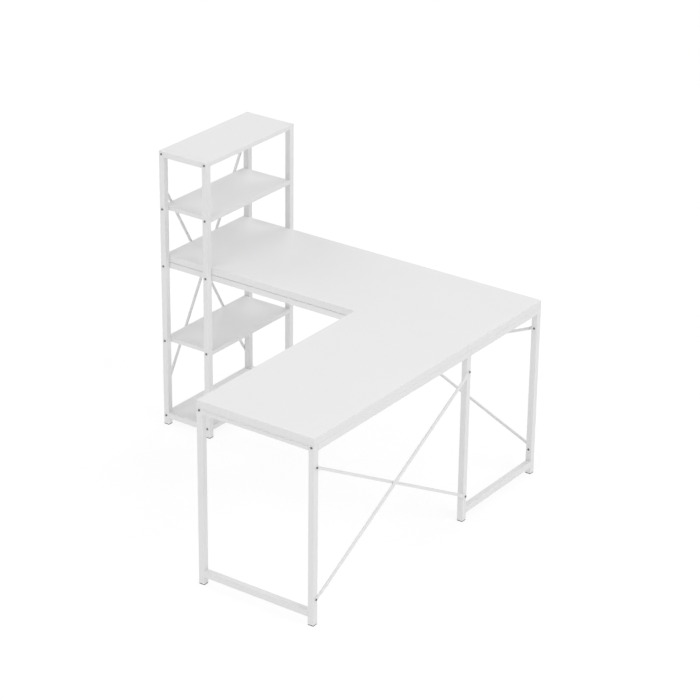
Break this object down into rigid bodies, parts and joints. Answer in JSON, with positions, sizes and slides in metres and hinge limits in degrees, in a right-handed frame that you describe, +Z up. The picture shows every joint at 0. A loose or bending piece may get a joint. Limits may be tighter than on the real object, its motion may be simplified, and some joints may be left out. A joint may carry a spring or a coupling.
{
  "type": "corner desk with shelf tower",
  "caption": "L-shaped desk with thick flat tops on a square-tube frame with crossed rod braces, and a narrow open shelf tower at one end.",
  "frame": {"origin": "on the floor, under the middle of the whole outline seen from above", "axes": "+X from the shelf tower towards the outer corner of the desk, +Y from the free end of the return towards the wall side of the main top, +Z up"},
  "size_m": [1.4766, 1.521, 1.2],
  "materials": {
    "white_laminate": "matt white laminate on particle board",
    "beech": "bare beech",
    "white_steel": "satin white powder coat",
    "white_plastic": "satin",
    "black_steel": "dark phosphated steel",
    "zinc_steel": "zinc plated",
    "black_plastic": "matt",
    "grey_foam": "closed-cell foam strip"
  },
  "bodies": {
    "frame": {"main_top": "white_laminate", "return_top": "white_laminate", "tower_top_board": "white_laminate", "upper_shelf": "white_laminate", "lower_shelf": "white_laminate", "bottom_shelf": "white_laminate", "top_dowels": "beech", "tower_front_left_post": "white_steel", "tower_front_right_post": "white_steel", "tower_back_left_post": "white_steel", "tower_back_right_post": "white_steel", "tower_front_top_rail": "white_steel", "tower_front_bottom_rail": "white_steel", "tower_back_top_rail": "white_steel", "tower_back_bottom_rail": "white_steel", "main_front_rail": "white_steel", "main_back_rail": "white_steel", "side_top_rail": "white_steel", "side_bottom_rail": "white_steel", "middle_leg": "white_steel", "corner_leg": "white_steel", "return_inner_rail": "white_steel", "return_outer_rail": "white_steel", "end_inner_leg": "white_steel", "end_outer_leg": "white_steel", "end_top_bar": "white_steel", "end_top_rail": "white_steel", "end_bottom_rail": "white_steel", "return_brace_outer": "white_steel", "return_brace_inner": "white_steel", "back_brace_outer": "white_steel", "back_brace_inner": "white_steel", "tower_brace_outer": "white_steel", "tower_brace_inner": "white_steel", "corner_brackets": "white_steel", "tower_post_caps": "white_plastic", "main_rail_caps": "white_plastic", "shelf_bolts": "black_steel", "tower_desk_bolts": "black_steel", "return_rail_bolts": "black_steel", "bracket_bolts": "black_steel", "brace_bolts": "black_steel", "brace_nuts": "black_steel", "shelf_inserts": "zinc_steel", "rivet_nuts": "zinc_steel", "top_screws": "zinc_steel", "return_rail_plugs": "black_plastic", "leg_plugs": "black_plastic", "main_rail_strips": "grey_foam"},
    "tower_front_left_foot": {"tower_front_left_foot": "black_plastic"},
    "tower_front_right_foot": {"tower_front_right_foot": "black_plastic"},
    "tower_back_left_foot": {"tower_back_left_foot": "black_plastic"},
    "tower_back_right_foot": {"tower_back_right_foot": "black_plastic"},
    "return_inner_foot": {"return_inner_foot": "black_plastic"},
    "return_outer_foot": {"return_outer_foot": "black_plastic"},
    "middle_foot": {"middle_foot": "black_plastic"},
    "corner_foot": {"corner_foot": "black_plastic"}
  },
  "joints": [
    {"name": "tower_front_left_foot_screw", "type": "slide", "parent": "frame", "child": "tower_front_left_foot", "axis": [0, 0, -1], "range_m": [0, 0.01]},
    {"name": "tower_front_right_foot_screw", "type": "slide", "parent": "frame", "child": "tower_front_right_foot", "axis": [0, 0, -1], "range_m": [0, 0.01]},
    {"name": "tower_back_left_foot_screw", "type": "slide", "parent": "frame", "child": "tower_back_left_foot", "axis": [0, 0, -1], "range_m": [0, 0.01]},
    {"name": "tower_back_right_foot_screw", "type": "slide", "parent": "frame", "child": "tower_back_right_foot", "axis": [0, 0, -1], "range_m": [0, 0.01]},
    {"name": "return_inner_foot_screw", "type": "slide", "parent": "frame", "child": "return_inner_foot", "axis": [0, 0, -1], "range_m": [0, 0.01]},
    {"name": "return_outer_foot_screw", "type": "slide", "parent": "frame", "child": "return_outer_foot", "axis": [0, 0, -1], "range_m": [0, 0.01]},
    {"name": "middle_foot_screw", "type": "slide", "parent": "frame", "child": "middle_foot", "axis": [0, 0, -1], "range_m": [0, 0.01]},
    {"name": "corner_foot_screw", "type": "slide", "parent": "frame", "child": "corner_foot", "axis": [0, 0, -1], "range_m": [0, 0.01]}
  ]
}
